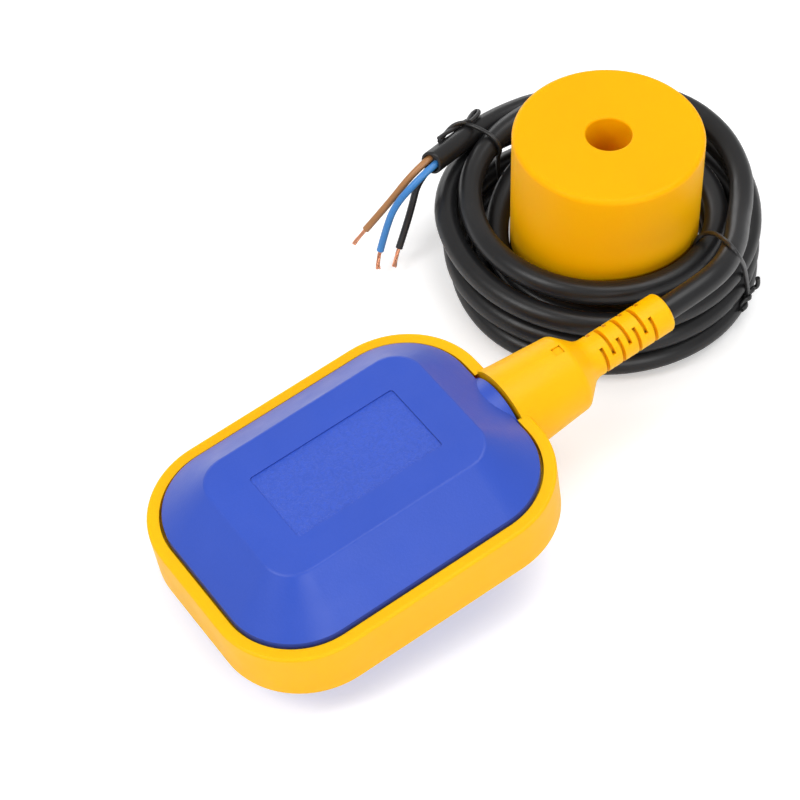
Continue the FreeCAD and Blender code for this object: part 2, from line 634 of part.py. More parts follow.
def make_mount_pins():
    pins = []
    reach = S.switch_width / 2 + S.cradle_wall
    for _name, place in mount_pin_places():
        start = Vector(place, -reach, SWITCH_BOTTOM + S.mount_pin_rise)
        pins.append(Part.makeCylinder(S.mount_pin_radius, 2 * reach, start, Vector(0, 1, 0)))
    return solid_group("microswitch_pins", pins)


def plunger_travel():
    return (PLUNGER_X - PIVOT_X) * math.tan(math.radians(S.lever_swing))


def make_plunger():
    """Plunger between the lever and the snap blade, with a head inside the case."""
    foot = lever_top_at_plunger() + S.contact_gap
    top = BLADE_Z - S.blade_thickness / 2 - S.contact_gap
    stem = Part.makeCylinder(S.plunger_radius, top - foot, Vector(PLUNGER_X, 0, foot))
    head = Part.makeCylinder(S.plunger_head_radius, S.plunger_head_height,
                             Vector(PLUNGER_X, 0, top - S.plunger_head_height))
    return solid_group("plunger", [stem.fuse(head).removeSplitter()])


def make_snap_blade():
    body = new_body("snap_blade")
    box(body, "Strip", (BLADE_HINGE_X, -S.blade_width / 2, BLADE_Z - S.blade_thickness / 2),
        (S.blade_reach, S.blade_width, S.blade_thickness))
    return body


def blade_tip_rise():
    """How far the blade's tip climbs while the plunger makes its whole travel."""
    return plunger_travel() / (PLUNGER_X - BLADE_HINGE_X) * S.blade_reach


def terminal_windows():
    """Name, lowest y, lowest z and width of each terminal where it leaves the case."""
    thick = S.terminal_thickness
    near = S.blade_thickness / 2 + S.contact_gap
    return (("Closed", S.contact_gap, BLADE_Z - near - thick, S.terminal_width),
            ("Open", -S.contact_gap - S.terminal_width, BLADE_Z + near + blade_tip_rise(),
             S.terminal_width),
            ("Common", -S.terminal_width / 2, PLUG_UNDERSIDE - S.common_rise, S.terminal_width))


def make_terminals():
    thick = S.terminal_thickness
    front = SWITCH_FRONT + S.terminal_reach
    contact = BLADE_HINGE_X + S.blade_reach - S.terminal_width
    closed, opened, common = terminal_windows()
    for label, (_name, low_y, low_z, width) in (("terminal_closed", closed), ("terminal_open", opened)):
        body = new_body(label)
        box(body, "Strip", (contact, low_y, low_z), (front - contact, width, thick))
    body = new_body("terminal_common")
    _name, low_y, low_z, width = common
    anchor = BLADE_HINGE_X - S.contact_gap - thick
    box(body, "Strip", (anchor, low_y, low_z), (front - anchor, width, thick))
    box(body, "Anchor", (anchor, -S.blade_width / 2, BLADE_Z - S.blade_thickness),
        (thick, S.blade_width, low_z + thick - BLADE_Z + S.blade_thickness))


# ---------------------------------------------------------------- cable inside the float

def make_cable_root():
    """Jacket of the cable from the clamp to the mouth of the strain relief."""
    body = new_body("cable_root")
    cylinder(body, "Jacket", (ROOT_START, 0, 0), CABLE_RADIUS, RELIEF_END - ROOT_START, "x")
    return body


def make_cable_seal():
    body = new_body("cable_seal")
    cylinder(body, "Sleeve", (SHELL_FACE, 0, 0), S.seal_radius, BOSS_END - SHELL_FACE, "x")
    cylinder(body, "Flange", (SHELL_FACE - S.seal_flange, 0, 0), S.seal_radius + S.seal_flange,
             S.seal_flange, "x")
    cylinder(body, "Bore", (SHELL_FACE - 2 * S.seal_flange, 0, 0), CABLE_RADIUS, BOSS_END, "x", cut=True)
    return body


def make_case_grommet():
    body = new_body("case_grommet")
    length = S.case_wall + 2 * S.grommet_overhang
    start = CASE_FRONT - S.case_wall - S.grommet_overhang
    cylinder(body, "Plug", (start, 0, S.grommet_rise), S.grommet_radius, length, "x")
    for name, low_y, low_z in core_places(S.grommet_circle, S.grommet_rise):
        cylinder(body, "Hole" + name, (start - 1, low_y, low_z), CORE_RADIUS, length + 2, "x", cut=True)
    return body


def core_places(circle, rise):
    """Places of the three cores on a circle at a given height above the cable's axis."""
    for name, bearing in (("Black", 90), ("Brown", 210), ("Blue", 330)):
        angle = math.radians(bearing)
        yield name, circle * math.cos(angle), circle * math.sin(angle) + rise


def make_cable_clamp():
    """Bridge that holds the jacket down on the pedestal of the lower shell."""
    body = new_body("cable_clamp")
    box(body, "Bridge", (CLAMP_X, -S.clamp_width / 2, 0),
        (S.clamp_length, S.clamp_width, CABLE_RADIUS + S.clamp_bridge))
    cylinder(body, "JacketSeat", (CLAMP_X - 1, 0, 0), CABLE_RADIUS, S.clamp_length + 2, "x",
             cut=True)
    leg = S.clamp_width / 2 - CABLE_RADIUS
    for name, low_y in (("LegLeft", CABLE_RADIUS), ("LegRight", -S.clamp_width / 2)):
        box(body, name, (CLAMP_X, low_y, -CABLE_RADIUS), (S.clamp_length, leg, CABLE_RADIUS))
    for name, side in (("ScrewBoreA", 1), ("ScrewBoreB", -1)):
        cylinder(body, name, (CLAMP_X + S.clamp_length / 2, S.clamp_screw_spread / 2 * side,
                              -S.cable_diameter), S.screw_radius, 2 * S.cable_diameter, "z", cut=True)
    return body


def make_clamp_screws():
    head_top = CABLE_RADIUS + S.clamp_bridge + S.screw_head_height
    reach = S.clamp_bridge + S.cable_diameter + S.clamp_screw_bite * 0.9
    screws = [screw_solid(CLAMP_X + S.clamp_length / 2, S.clamp_screw_spread / 2 * side,
                          head_top, reach) for side in (1, -1)]
    return solid_group("clamp_screws", screws)


def tube_path(points, share):
    """Straight runs joined by tangent arcs, which take a share of the shorter run."""
    edges, radii, cursor = [], [], points[0]
    for before, corner, after in zip(points[:-2], points[1:-1], points[2:]):
        back, ahead = before - corner, after - corner
        reach = share * min(back.Length, ahead.Length)
        entry = corner + back.normalize() * reach
        leave = corner + ahead.normalize() * reach
        bisector = (back + ahead).normalize()
        half_angle = math.acos(max(-1.0, min(1.0, back.dot(bisector))))
        radius = reach * math.tan(half_angle)
        middle = corner + bisector * (math.hypot(radius, reach) - radius)
        edges.append(Part.LineSegment(cursor, entry).toShape())
        edges.append(Part.Arc(entry, middle, leave).toShape())
        radii.append(radius)
        cursor = leave
    edges.append(Part.LineSegment(cursor, points[-1]).toShape())
    return Part.Wire(edges), radii


def sweep_round(label, wire, radius):
    start = wire.Edges[0]
    heading = start.tangentAt(start.FirstParameter)
    ring = Part.Wire(Part.makeCircle(radius, start.valueAt(start.FirstParameter), heading))
    item = solid_group(label, [wire.makePipeShell([ring], True, False)])
    return item


def make_tube(label, points, radius, share=0.45):
    wire, radii = tube_path([Vector(*point) for point in points], share)
    item = sweep_round(label, wire, radius)
    expected = math.pi * float(radius) ** 2 * wire.Length
    print(f"{label}: length {wire.Length:.1f}, volume share {item.Shape.Volume / expected:.4f},",
          "radii", " ".join(f"{value:.1f}" for value in radii))
    return item


def make_inner_wires():
    """Three cores from the terminals through the case grommet to the end of the jacket."""
    front = SWITCH_FRONT + S.terminal_reach
    thick = S.terminal_thickness / 2
    closed, opened, common = terminal_windows()
    starts = {"Brown": (-CORE_RADIUS - S.contact_gap, opened[2] + thick),
              "Blue": (CORE_RADIUS + S.contact_gap, closed[2] + thick),
              "Black": (CORE_RADIUS, common[2] + thick)}
    seats = {name: (seat_y, seat_z) for name, seat_y, seat_z in core_places(S.core_circle, 0)}
    grommet_start = CASE_FRONT - S.case_wall - S.grommet_overhang
    grommet_end = CASE_FRONT + S.grommet_overhang
    lead_in, lead_out = (grommet_start - front) * 0.14, (ROOT_START - grommet_end) * 0.2
    items = []
    for name, hole_y, hole_z in core_places(S.grommet_circle, S.grommet_rise):
        start_y, start_z = starts[name]
        seat_y, seat_z = seats[name]
        route = [(front, start_y, start_z), (front + lead_in, start_y, start_z),
                 (grommet_start - lead_in, hole_y, hole_z), (grommet_end + lead_out, hole_y, hole_z),
                 (ROOT_START - lead_out, seat_y, seat_z), (ROOT_START, seat_y, seat_z)]
        items.append(make_tube(f"inner_wire_{name.lower()}", route, CORE_RADIUS, share=0.3))
    return items


# ---------------------------------------------------------------- free cable, coil and ties

COIL_RISE = 2 * S.tie_radius + S.tie_gap


def make_cable_coil():
    """Outer shape of the wound turns, open in the middle for the counterweight."""
    body = new_body("cable_coil")
    cylinder(body, "Turns", (0, 0, 0), S.coil_radius, S.coil_height, "z")
    cylinder(body, "Middle", (S.coil_hole_dx, S.coil_hole_dy, -1), S.coil_hole_radius,
             S.coil_height + 2, "z", cut=True)
    fillet(body, "RoundTurns", S.coil_edge,
           lambda edge: flat_at(edge, 0) or flat_at(edge, S.coil_height))
    return body


# The lead from the strain relief to the top of the coil, and the tail that lies on the
# coil and ends in three bare cores: (x, y, z) from the middle of the float, above the floor.
# The lead starts at the mouth of the strain relief and first runs straight along the neck.
LEAD_ROUTE = [(133.3, 2.6, 40.2), (144.3, 8.2, 38.0), (153.3, 16.3, 35.0),
              (160.2, 26.5, 31.6)]
TAIL_ROUTE = [(125.5, 98.2, 33.0), (115.3, 96.6, 35.9), (104.2, 94.7, 36.2), (92.8, 94.0, 33.9)]
CORE_ROUTES = {
    "brown": [(91.9, 95.2, 34.6), (84.9, 95.6, 30.4), (78.3, 97.6, 21.2), (71.3, 100.6, 11.2)],
    "blue": [(91.9, 92.5, 33.9), (84.4, 92.2, 30.6), (78.0, 94.3, 22.6), (75.0, 93.6, 13.6),
             (73.1, 92.2, 7.6)],
    "black": [(91.9, 94.2, 32.2), (86.9, 94.5, 27.0), (85.0, 94.5, 19.4), (81.9, 92.7, 12.8),
              (78.2, 90.3, 7.2)],
}
STRAND_ENDS = {"brown": (67.3, 101.9, 5.8), "blue": (70.6, 90.6, 2.4), "black": (74.3, 88.0, 3.2)}


def make_free_cable(mouth, bend):
    items = [make_tube("cable_lead", [mouth, bend] + LEAD_ROUTE, CABLE_RADIUS),
             make_tube("cable_tail", TAIL_ROUTE, CABLE_RADIUS)]
    for colour, route in CORE_ROUTES.items():
        items.append(make_tube(f"core_{colour}", route, CORE_RADIUS))
        last, before = Vector(*route[-1]), Vector(*route[-2])
        heading = (last - before).normalize()
        tip = Vector(*STRAND_ENDS[colour])
        reach = (tip - last).Length
        knee = last + heading * (reach / 2)
        items.append(make_tube(f"strands_{colour}", [last, knee, tip], S.strand_diameter / 2))
    return items


def make_tie(label, bearing, lift):
    """Wire loop round the section of the coil at a bearing, with its twisted ends outside."""
    angle = math.radians(bearing)
    out = Vector(math.cos(angle), math.sin(angle), 0)
    up = Vector(0, 0, 1)
    hole = Vector(S.coil_hole_dx, S.coil_hole_dy, 0)
    along = out.dot(hole)
    inner = along + math.sqrt(along ** 2 - hole.Length ** 2 + S.coil_hole_radius ** 2)
    spare = S.tie_radius + S.tie_gap
    low_r, high_r = inner - spare, S.coil_radius + spare
    low_z, high_z = S.tie_radius, COIL_RISE + S.coil_height + spare + lift
    corners = [(low_r, low_z), (high_r, low_z), (high_r, high_z), (low_r, high_z)]
    middle = Vector(S.coil_x, S.coil_y, 0)
    bend = S.tie_corner
    edges = []
    for index, (reach, height) in enumerate(corners):
        before, after = corners[index - 1], corners[(index + 1) % 4]
        corner = middle + out * reach + up * height
        back = (middle + out * before[0] + up * before[1]) - corner
        ahead = (middle + out * after[0] + up * after[1]) - corner
        entry, leave = corner + back.normalize() * bend, corner + ahead.normalize() * bend
        centre = corner + back * bend + ahead * bend
        bulge = centre - (back + ahead).normalize() * bend
        edges.append(Part.Arc(entry, bulge, leave).toShape())
    joined = []
    for index, arc in enumerate(edges):
        following = edges[(index + 1) % 4]
        joined.append(arc)
        joined.append(Part.LineSegment(arc.Vertexes[-1].Point, following.Vertexes[0].Point).toShape())
    start = joined[1]
    heading = start.tangentAt(start.FirstParameter)
    path = Part.Wire(joined[1:] + joined[:1])
    ring = Part.Wire(Part.makeCircle(S.tie_radius, start.valueAt(start.FirstParameter), heading))
    loop = path.makePipeShell([ring], True, False)
    foot = middle + out * high_r + up * (S.coil_height * 0.5)
    twist = Part.makeCylinder(S.tie_twist_radius, S.tie_twist_length, foot, out)
    return solid_group(label, [loop.fuse(twist).removeSplitter()])


# ---------------------------------------------------------------- counterweight

def make_counterweight():
    """Moulded shell with a central tube, its ballast and the cap that closes it."""
    shell = new_body("weight_shell")
    tube_radius = S.weight_bore_radius + S.weight_wall
    inner_radius = S.weight_radius - S.weight_wall
    inner_top = S.weight_height - S.weight_wall
    profile = new_sketch(shell, "ShellProfile", "XZ_Plane")
    polygon(profile, [(S.weight_bore_radius, 0), (tube_radius, 0), (tube_radius, inner_top),
                      (inner_radius, inner_top), (inner_radius, 0), (S.weight_radius, 0),
                      (S.weight_radius, S.weight_height), (S.weight_bore_radius, S.weight_height)])
    turned = feature(shell, "Revolution", "Shell", profile)
    turned.ReferenceAxis = (profile, ["V_Axis"])
    outer = S.weight_radius
    fillet(shell, "OuterEdges", S.weight_edge,
           lambda edge: (flat_at(edge, S.weight_height) or flat_at(edge, 0))
           and abs(edge.BoundBox.XMax - outer) < 0.01)
    fillet(shell, "BoreEdge", S.weight_bore_edge,
           lambda edge: flat_at(edge, S.weight_height)
           and abs(edge.BoundBox.XMax - S.weight_bore_radius) < 0.01)

    ballast = new_body("weight_ballast")
    cylinder(ballast, "Fill", (0, 0, S.weight_cap), inner_radius, inner_top - S.weight_cap, "z")
    cylinder(ballast, "TubeHole", (0, 0, 0), tube_radius, S.weight_height, "z", cut=True)

    cap = new_body("weight_cap")
    cylinder(cap, "Disc", (0, 0, 0), inner_radius, S.weight_cap, "z")
    cylinder(cap, "TubeHole", (0, 0, -1), tube_radius, S.weight_cap + 2, "z", cut=True)
    return [shell, ballast, cap]


# ---------------------------------------------------------------- assembly

def build():
    frame = make_float_frame()
    upper = make_half_shell("upper_shell", carries_clamp=False)
    lower = make_half_shell("lower_shell", carries_clamp=True)
    make_case_tray()
    make_case_lid()
    make_ball()
    make_pivot_pin()
    make_microswitch_case()
    make_microswitch_cover()
    make_snap_blade()
    make_terminals()
    make_cable_root()
    make_cable_seal()
    make_case_grommet()
    make_cable_clamp()
    float_bodies = list(doc.findObjects("PartDesign::Body"))
    float_features = [make_case_screws(), make_lever(), make_mount_pins(), make_plunger(),
                      make_clamp_screws()] + make_inner_wires()
    coil = make_cable_coil()
    weight_bodies = make_counterweight()
    doc.recompute()

    # the float lies on the rear edge of its lower face, nose up
    tilt = Rotation(Vector(0, 1, 0), -S.float_tilt)
    turned_over = Rotation(Vector(1, 0, 0), 180)
    lying = lower.Shape.copy()
    lying.Placement = Placement(Vector(), tilt.multiply(turned_over))
    rise = -lying.optimalBoundingBox(True).ZMin
    float_place = Placement(Vector(0, 0, rise), tilt)
    mouth = float_place.multVec(Vector(RELIEF_END, 0, 0))
    first_bend = float_place.multVec(Vector(RELIEF_END + S.lead_run, 0, 0))
    print("float rise", round(rise, 3), "cable mouth", [round(value, 3) for value in mouth])

    # the row's origin: floor level, in the middle of the float and the counterweight together
    solid = Part.makeCompound([frame.Shape, upper.Shape])
    solid.Placement = float_place
    bounds = solid.optimalBoundingBox(True)
    lowest_x, lowest_y = bounds.XMin, bounds.YMin
    highest_x = max(bounds.XMax, WEIGHT_X + S.weight_radius)
    highest_y = max(bounds.YMax, WEIGHT_Y + S.weight_radius)
    shift = Vector(-(lowest_x + highest_x) / 2, -(lowest_y + highest_y) / 2, 0)
    print("shift", [round(value, 3) for value in shift])
    moved = Placement(shift, Rotation())

    for body in float_bodies:
        body.Placement = moved.multiply(float_place)
    lower.Placement = moved.multiply(float_place).multiply(Placement(Vector(), turned_over))
    for item in float_features:
        item.Placement = moved.multiply(float_place)
    coil.Placement = Placement(shift + Vector(S.coil_x, S.coil_y, COIL_RISE), Rotation())
    for body in weight_bodies:
        body.Placement = Placement(shift + Vector(WEIGHT_X, WEIGHT_Y, 0), Rotation())
    front_tie = make_tie("tie_front", S.front_tie_bearing, 0.0)
    rear_tie = make_tie("tie_rear", S.rear_tie_bearing, S.rear_tie_lift)
    for item in make_free_cable(tuple(mouth), tuple(first_bend)) + [front_tie, rear_tie]:
        item.Placement = moved
    doc.recompute()
    return moved, float_place


def export_parts():
    """Checks every object and writes one STEP file for each sub-part."""
    failed = [item.Label for item in doc.Objects
              if any(word in item.State for word in ("Invalid", "Error"))]
    pieces = [item for item in doc.Objects if item.TypeId in ("PartDesign::Body", "Part::Feature")]
    broken = [item.Label for item in pieces if item.Shape.isNull() or not item.Shape.isValid()]
    if failed or broken:
        raise RuntimeError(f"failed {failed}, broken {broken}")
    os.makedirs("parts", exist_ok=True)
    for item in pieces:
        item.Shape.exportStep(f"parts/{item.Label}.step")
    print(len(pieces), "pieces written")


MOVED, FLOAT_PLACE = build()
for title, place in (("ball", (BALL_REST, 0, BALL_Z)), ("pivot", (PIVOT_X, 0, PIVOT_Z)),
                     ("blade hinge", (BLADE_HINGE_X, 0, BLADE_Z)), ("plunger", (PLUNGER_X, 0, 0))):
    spot = MOVED.multVec(FLOAT_PLACE.multVec(Vector(*place)))
    print(title, [round(value, 3) for value in spot])
print("plunger travel", round(plunger_travel(), 4), "blade angle",
      round(math.degrees(math.atan(plunger_travel() / (PLUNGER_X - BLADE_HINGE_X))), 4))
export_parts()
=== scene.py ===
import math
import random

import bmesh
import bpy
from mathutils import Matrix, Vector


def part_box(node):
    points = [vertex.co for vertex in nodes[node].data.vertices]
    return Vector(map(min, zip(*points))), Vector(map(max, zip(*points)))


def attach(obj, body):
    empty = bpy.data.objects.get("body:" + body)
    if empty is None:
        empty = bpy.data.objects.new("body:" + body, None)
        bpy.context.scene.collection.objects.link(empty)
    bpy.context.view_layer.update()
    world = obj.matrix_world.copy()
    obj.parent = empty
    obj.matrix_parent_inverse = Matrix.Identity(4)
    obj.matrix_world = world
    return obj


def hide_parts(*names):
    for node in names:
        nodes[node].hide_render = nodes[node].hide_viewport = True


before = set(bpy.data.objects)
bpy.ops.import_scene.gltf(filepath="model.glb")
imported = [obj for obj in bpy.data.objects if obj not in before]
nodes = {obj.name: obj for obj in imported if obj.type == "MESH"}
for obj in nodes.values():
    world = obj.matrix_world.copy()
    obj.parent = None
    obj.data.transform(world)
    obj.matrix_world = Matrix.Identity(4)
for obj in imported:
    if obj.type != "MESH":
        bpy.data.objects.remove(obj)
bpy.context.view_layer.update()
MM = 0.001

# ------------------------------------------------------------------ places
# Routes are written in the float's layout: origin under the middle of its body, in
# millimetres, as in the part's source. The coil's box gives the shift to the part's frame.

coil_low, coil_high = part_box("cable_coil")
COIL = Vector((129.0, 55.5, 0.0))           # middle of the coil, on the floor
SHIFT = Vector(((coil_low.x + coil_high.x) / 2 - COIL.x * MM,
                (coil_low.y + coil_high.y) / 2 - COIL.y * MM, 0.0))


def place(point):
    return Vector(point) * MM + SHIFT


TILT = math.radians(6.8)                    # the float lies with its nose raised
NECK = Vector((math.cos(TILT), 0, math.sin(TILT)))
MOUTH = Vector((108.63, 0, 38.951))         # where the cable leaves the strain relief

CABLE_D = 7.4
CABLE_INSET = 3.0                           # its curve starts this far inside the mouth
CORE_D = 2.3
CORE_INSET = 1.4                            # the cores start this far inside the jacket

# The cable's control points from the mouth to the coil, and from the coil to its bare end.
LEAD_ROUTE = [(120.545, 0, 40.372), (133.4, 2.7, 40.0), (145.0, 11.2, 36.1), (153.8, 20.4, 32.9),
              (161.0, 27.4, 31.5)]
TAIL_ROUTE = [(126.6, 103.8, 27.1), (115.0, 101.9, 28.8), (103.8, 98.1, 31.5), (92.8, 94.0, 33.9)]
# The three cores, which hang from the bare end, and the tips of their strands.
CORE_ROUTES = {
    "brown": [(91.9, 95.2, 34.6), (84.9, 95.6, 30.4), (78.3, 97.6, 21.2), (71.3, 100.6, 11.2)],
    "blue": [(91.9, 92.5, 33.9), (84.4, 92.2, 30.6), (78.0, 94.3, 22.6), (74.2, 94.1, 13.6),
             (71.6, 93.2, 7.6)],
    "black": [(91.9, 94.2, 32.2), (86.9, 94.5, 27.0), (85.0, 94.5, 19.4), (81.4, 93.0, 12.8),
              (77.2, 91.0, 7.2)],
}
STRAND_ENDS = {"brown": (67.3, 101.9, 5.8), "blue": (68.8, 90.6, 3.0), "black": (73.2, 88.0, 3.6)}

# The wound turns: bearing in degrees from the coil's middle, radius and height in mm. The
# inner turns go down to the floor, then the outer ones climb back to the tail.
TURNS = [
    (335, 43.0, 31.2), (349, 44.4, 31.0), (361, 45.4, 31.0), (372, 46.4, 31.0), (382, 46.8, 31.0),
    (400, 45.7, 31.0), (420, 43.6, 30.5), (440, 42.0, 30.0), (452, 41.3, 29.8), (464, 41.0, 29.6),
    (477, 40.9, 29.1), (490, 41.0, 28.5), (502, 40.6, 28.1), (514, 40.1, 28.1), (530, 40.1, 28.4),
    (550, 40.7, 29.1), (570, 41.0, 29.3), (600, 41.0, 29.2), (620, 40.1, 28.9), (640, 38.5, 28.3),
    (660, 36.4, 27.5), (680, 34.9, 26.6), (700, 34.0, 25.6), (720, 33.4, 24.4), (760, 33.6, 22.9),
    (800, 33.8, 21.6), (835, 31.2, 20.4), (855, 31.0, 19.8), (870, 32.1, 19.3), (885, 34.1, 18.9),
    (900, 36.2, 18.6), (930, 39.4, 18.1), (960, 40.7, 17.9), (1000, 38.6, 17.6),
    (1020, 36.4, 17.3), (1040, 34.9, 16.9), (1060, 34.2, 16.4), (1080, 34.2, 15.8),
    (1120, 35.6, 14.4), (1160, 34.0, 13.0), (1190, 31.8, 12.0), (1210, 33.4, 11.4),
    (1228, 36.0, 10.8), (1245, 38.3, 10.3), (1260, 39.2, 9.8), (1290, 39.8, 9.2),
    (1320, 40.7, 9.0), (1360, 38.6, 9.0), (1380, 36.6, 8.9), (1400, 35.3, 8.7), (1440, 35.2, 7.6),
    (1480, 36.6, 6.2), (1520, 38.6, 5.0), (1560, 41.0, 5.0), (1590, 43.4, 5.0), (1605, 44.4, 5.0),
    (1612, 44.9, 5.0), (1618, 45.5, 5.0), (1625, 46.1, 5.0), (1632, 46.6, 5.0), (1640, 47.0, 5.0),
    (1680, 47.1, 5.0), (1720, 47.0, 5.0), (1760, 45.6, 5.0), (1800, 45.4, 5.0), (1840, 45.4, 5.6),
    (1880, 45.6, 8.0), (1920, 45.0, 10.8), (1950, 45.2, 12.2), (1962, 46.1, 12.4),
    (1970, 46.5, 12.4), (1990, 46.3, 12.4), (2003, 45.8, 12.4), (2040, 46.0, 12.4),
    (2080, 46.2, 12.4), (2120, 45.7, 12.4), (2160, 45.7, 12.8), (2200, 46.0, 15.2),
    (2240, 46.6, 18.6), (2265, 47.2, 21.2), (2286, 47.8, 23.2), (2300, 48.2, 23.5),
    (2314, 47.8, 23.1), (2323, 47.1, 22.6), (2334, 46.3, 22.1), (2350, 46.5, 22.0),
    (2382, 46.8, 22.0), (2400, 46.8, 21.6), (2440, 46.2, 21.2), (2460, 46.0, 22.0),
    (2480, 45.6, 23.2), (2490, 45.4, 23.6), (2505, 45.6, 23.8), (2520, 46.2, 24.0),
    (2540, 47.2, 24.2), (2560, 48.0, 24.4), (2580, 48.1, 25.0), (2597, 47.8, 26.2)]
TURN_STEP = 22.5                            # degrees between control points
PULL = 0.981                                # the spline's radius as a share of theirs


def station(bearing):
    """Radius and height of the turns at a bearing."""
    for (a, ra, za), (b, rb, zb) in zip(TURNS, TURNS[1:]):
        if bearing <= b:
            share = (bearing - a) / (b - a)
            return ra + (rb - ra) * share, za + (zb - za) * share
    return TURNS[-1][1:]


def turn_points():
    """Control points of all the wound turns."""
    first, last = TURNS[0][0], TURNS[-1][0]
    count = round((last - first) / TURN_STEP)
    points = []
    for index in range(count + 1):
        bearing = first + (last - first) * index / count
        radius, height = station(bearing)
        angle = math.radians(bearing)
        points.append(COIL + Vector((math.cos(angle), math.sin(angle), 0)) * (radius / PULL)
                      + Vector((0, 0, height)))
    return points


# ------------------------------------------------------------------ curves

SPLINE_ORDER = 3


def nurbs_curve(name, routes, radius, resolution, ring):
    """Tube on open splines with the given control points, in the layout's millimetres."""
    data = bpy.data.curves.new(name, "CURVE")
    data.dimensions = "3D"
    data.resolution_u = resolution
    for route in routes:
        spline = data.splines.new("NURBS")
        spline.points.add(len(route) - 1)
        for item, point in zip(spline.points, route):
            item.co = (*place(point), 1.0)
        spline.order_u = SPLINE_ORDER
        spline.use_endpoint_u = True
        spline.use_smooth = True
    data.bevel_depth = radius * MM
    data.bevel_resolution = ring
    data.use_fill_caps = True
    obj = bpy.data.objects.new(name, data)
    bpy.context.scene.collection.objects.link(obj)
    return obj


def spline_line(route):
    """Points on the spline of a route, in the layout's millimetres."""
    probe = nurbs_curve("line_probe", [route], 0, resolution=12, ring=5)
    probe.data.use_fill_caps = False
    mesh = bpy.data.meshes.new_from_object(probe)
    line = [(Vector(v.co) - SHIFT) / MM for v in mesh.vertices]
    bpy.data.objects.remove(probe)
    bpy.data.meshes.remove(mesh)
    return line


def mesh_object(name, bm):
    bmesh.ops.recalc_face_normals(bm, faces=bm.faces)
    mesh = bpy.data.meshes.new(name)
    bm.to_mesh(mesh)
    bm.free()
    for polygon in mesh.polygons:
        polygon.use_smooth = True
    obj = bpy.data.objects.new(name, mesh)
    bpy.context.scene.collection.objects.link(obj)
    return obj


# ------------------------------------------------------------------ materials

BLUE = (0.0185, 0.072, 0.49, 1)
SPECK_SHARE = 0.25              # how much of the grain's specks shows in the colour
CREASE_REACH = 0.0012           # grooves narrower than about this turn dark
FLOAT_MIDDLE = 26.0             # height of the float's own tilted frame, in mm
# The upper shell's sunk panel in that frame, in metres. Each pair is where its stipple
# starts to fade and where it has gone.
PANEL_MIDDLE = 0.0005
PANEL_END = (0.0238, 0.0241)
PANEL_SIDE = (0.01225, 0.0126)
PANEL_LEVEL = (0.0205, 0.0212)  # here it starts and is full, so the lower shell has none
STIPPLE_SCALE = 1050.0
STIPPLE_HEIGHT = 0.00009
# share by which the stipple's raised points are painted lighter: a painted highlight
STIPPLE_PAINTED_HIGHLIGHT = 0.25


class Shader:
    """Small helper that wires a Principled material from object coordinates, in metres."""

    def __init__(self, name):
        self.material = bpy.data.materials.new(name)
        self.material.use_nodes = True
        self.tree = self.material.node_tree
        self.tree.nodes.clear()
        self.out = self.add("ShaderNodeOutputMaterial")
        self.surface = self.add("ShaderNodeBsdfPrincipled")
        self.link(self.surface.outputs["BSDF"], self.out.inputs["Surface"])
        self.coords = self.add("ShaderNodeTexCoord").outputs["Object"]

    def add(self, kind, **values):
        node = self.tree.nodes.new(kind)
        for key, value in values.items():
            setattr(node, key, value)
        return node

    def link(self, a, b):
        self.tree.links.new(a, b)

    def set(self, **values):
        for key, value in values.items():
            self.surface.inputs[key.replace("_", " ")].default_value = value

    def noise(self, scale, detail=2.0, rough=0.5):
        node = self.add("ShaderNodeTexNoise")
        node.inputs["Scale"].default_value = scale
        node.inputs["Detail"].default_value = detail
        node.inputs["Roughness"].default_value = rough
        self.link(self.coords, node.inputs["Vector"])
        return node.outputs["Fac"]

    def spread(self, value, low, high, start=0.3, end=0.7):
        """Maps start to end onto low to high, and clamps what lies outside."""
        node = self.add("ShaderNodeMapRange")
        for key, number in (("From Min", start), ("From Max", end),
                            ("To Min", low), ("To Max", high)):
            node.inputs[key].default_value = number
        self.link(value, node.inputs["Value"])
        return node.outputs["Result"]

    def feed(self, socket, value):
        """Links a socket to another one, or gives it a plain value."""
        if isinstance(value, bpy.types.NodeSocket):
            self.link(value, socket)
        else:
            socket.default_value = value

    def mix(self, share, first, second):
        node = self.add("ShaderNodeMix", data_type="RGBA")
        for key, value in (("Factor", share), ("A", first), ("B", second)):
            self.feed(node.inputs[key], value)
        return node.outputs["Result"]

    def math(self, operation, first, second=0):
        node = self.add("ShaderNodeMath", operation=operation)
        for socket, value in zip(node.inputs, (first, second)):
            self.feed(socket, value)
        return node.outputs["Value"]

    def bump(self, height, distance, under=None):
        """Bump of this height in metres, over an earlier one if under is given."""
        node = self.add("ShaderNodeBump")
        node.inputs["Strength"].default_value = 1.0
        node.inputs["Distance"].default_value = distance
        self.link(height, node.inputs["Height"])
        if under is not None:
            self.link(under, node.inputs["Normal"])
        return node.outputs["Normal"]


def tint(colour, share):
    """The colour, brighter or darker by a share."""
    return tuple(min(1.0, c * share) for c in colour[:3]) + (1.0,)


def moulded(name, colour, roughness, grain, depth, variation, broad=28.0, **values):
    """Moulded plastic or rubber: slow colour drift, fine grain and uneven gloss.

    grain and broad are noise scales per metre, and depth is the grain's height in metres.
    """
    shader = Shader(name)
    drift = shader.spread(shader.noise(broad, detail=3.0), 0, 1)
    fine = shader.noise(grain, rough=0.6)
    cast = shader.mix(drift, tint(colour, 1 - variation), tint(colour, 1 + variation / 2))
    speck = shader.spread(fine, 0, 1, start=0.35, end=0.65)
    cast = shader.mix(shader.math("MULTIPLY", speck, SPECK_SHARE), cast,
                      tint(colour, 1 - variation * 1.5))
    shader.link(cast, shader.surface.inputs["Base Color"])
    gloss = shader.noise(broad * 6, detail=4.0, rough=0.6)
    shader.link(shader.spread(gloss, *roughness), shader.surface.inputs["Roughness"])
    shader.link(shader.bump(fine, depth), shader.surface.inputs["Normal"])
    shader.set(**values)
    return shader


